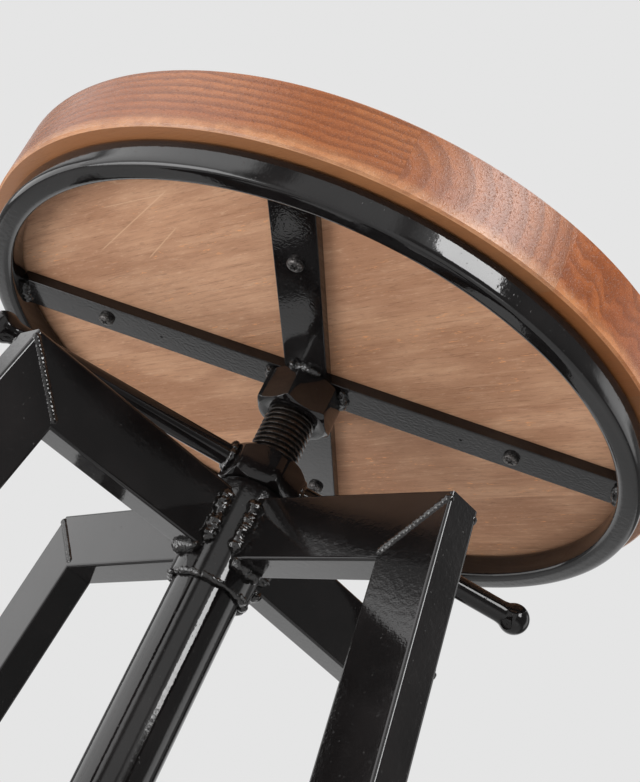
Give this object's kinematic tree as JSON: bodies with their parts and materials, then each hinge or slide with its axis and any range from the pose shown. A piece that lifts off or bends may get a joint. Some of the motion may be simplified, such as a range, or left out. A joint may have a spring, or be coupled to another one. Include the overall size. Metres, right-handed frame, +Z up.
{
  "type": "adjustable swivel stool",
  "caption": "Backless swivel stool: a round wooden seat on a turning lead screw, a lock nut with a ball-ended lever, and a welded steel base of splayed legs with a footrest ring.",
  "frame": {"origin": "on the floor, under the column's axis", "axes": "+Z up along the column and the lead screw; the legs lie along +X, +Y, -X and -Y"},
  "size_m": [0.4344, 0.4344, 0.62],
  "materials": {
    "seat_wood": "reddish-brown stain under satin varnish, the underside bare and matt",
    "seat_frame_black": "gloss black powder coat",
    "frame_black": "gloss black powder coat",
    "nut_black": "gloss black powder coat",
    "screw_black": "black, oiled, with worn crests",
    "wood_screw_black": "black zinc",
    "weld_black": "gloss black powder coat over weld bead",
    "lever_black": "gloss black powder coat",
    "zinc_steel": "zinc plated",
    "nylon": "natural nylon",
    "black_plastic": "matt black plastic"
  },
  "bodies": {
    "base": {"threaded_insert": "nut_black", "column_tube": "frame_black", "collar_sleeve": "frame_black", "arm_a": "frame_black", "arm_b": "frame_black", "arm_c": "frame_black", "arm_d": "frame_black", "leg_a": "frame_black", "leg_b": "frame_black", "leg_c": "frame_black", "leg_d": "frame_black", "arm_welds": "weld_black", "collar_weld": "weld_black", "elbow_welds": "weld_black", "footrest_ring": "frame_black", "footrest_welds": "weld_black", "foot_a": "black_plastic", "foot_b": "black_plastic", "foot_c": "black_plastic", "foot_d": "black_plastic", "column_plug": "black_plastic"},
    "bush": {"guide_bush": "nylon"},
    "seat": {"board_1": "seat_wood", "board_2": "seat_wood", "board_3": "seat_wood", "board_4": "seat_wood", "board_5": "seat_wood", "seat_ring": "seat_frame_black", "long_bar": "seat_frame_black", "half_bar_a": "seat_frame_black", "half_bar_b": "seat_frame_black", "hub_nut": "nut_black", "lead_screw": "screw_black", "wood_screws": "wood_screw_black", "seat_frame_welds": "weld_black", "end_washer": "zinc_steel", "end_bolt": "zinc_steel"},
    "lever": {"lock_nut": "nut_black", "lever_rod_a": "lever_black", "lever_rod_b": "lever_black", "lever_ball_a": "lever_black", "lever_ball_b": "lever_black", "lever_welds": "weld_black"}
  },
  "joints": [
    {"name": "seat_height", "type": "slide", "parent": "base", "child": "bush", "axis": [0, 0, 1], "range_m": [-0.0201, 0.1801]},
    {"name": "seat_turn", "type": "hinge", "parent": "bush", "child": "seat", "pos_m": [0, 0, 0.59], "axis": [0, 0, 1], "range_deg": [-2880, 25920]},
    {"name": "lock_lever", "type": "hinge", "parent": "base", "child": "lever", "pos_m": [0, 0, 0.5357], "axis": [0, 0, 1], "range_deg": [0, 180]}
  ],
  "couplings": [
    {"joint": "seat_height", "follows": "seat_turn", "m_per_rad": 0.00039789}
  ]
}
